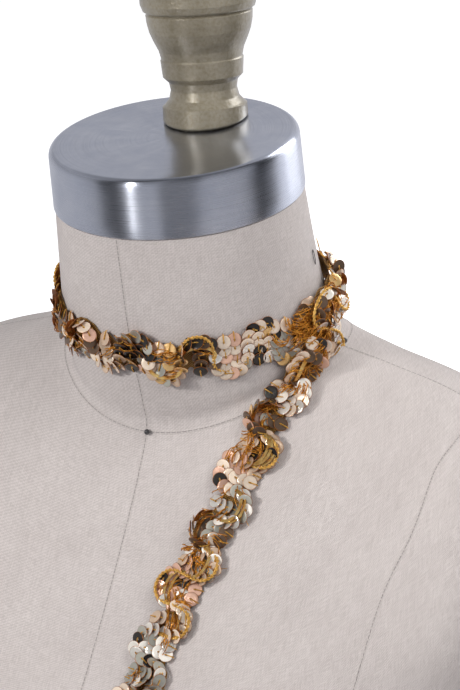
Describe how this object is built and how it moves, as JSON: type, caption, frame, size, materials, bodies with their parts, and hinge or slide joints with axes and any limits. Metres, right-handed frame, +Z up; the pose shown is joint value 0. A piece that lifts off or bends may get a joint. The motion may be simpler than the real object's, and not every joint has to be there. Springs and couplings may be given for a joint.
{
  "type": "sequin trim on a dress form",
  "caption": "Gold sequin trim wound once round the neck of a plain fabric dress form, with one end hanging down the front.",
  "frame": {"origin": "centre of the flat face that the dress form stands on", "axes": "+Z up, -Y towards the form's front, +X towards the form's own left side"},
  "size_m": [0.3342, 0.2185, 0.3338],
  "materials": {
    "trim": "gold thread and glossy metallic sequins in champagne, silver and bronze",
    "form_cover": "plain woven linen, matt",
    "cap": "brushed, with a soft edge",
    "finial": "satin khaki paint over a rough casting",
    "pins": "dark steel"
  },
  "bodies": {
    "root": {"sequin_trim": "trim", "form_body": "form_cover", "neck_cap": "cap", "finial": "finial", "pin_front": "pins", "pin_side": "pins", "pin_loop": "pins"}
  },
  "joints": []
}
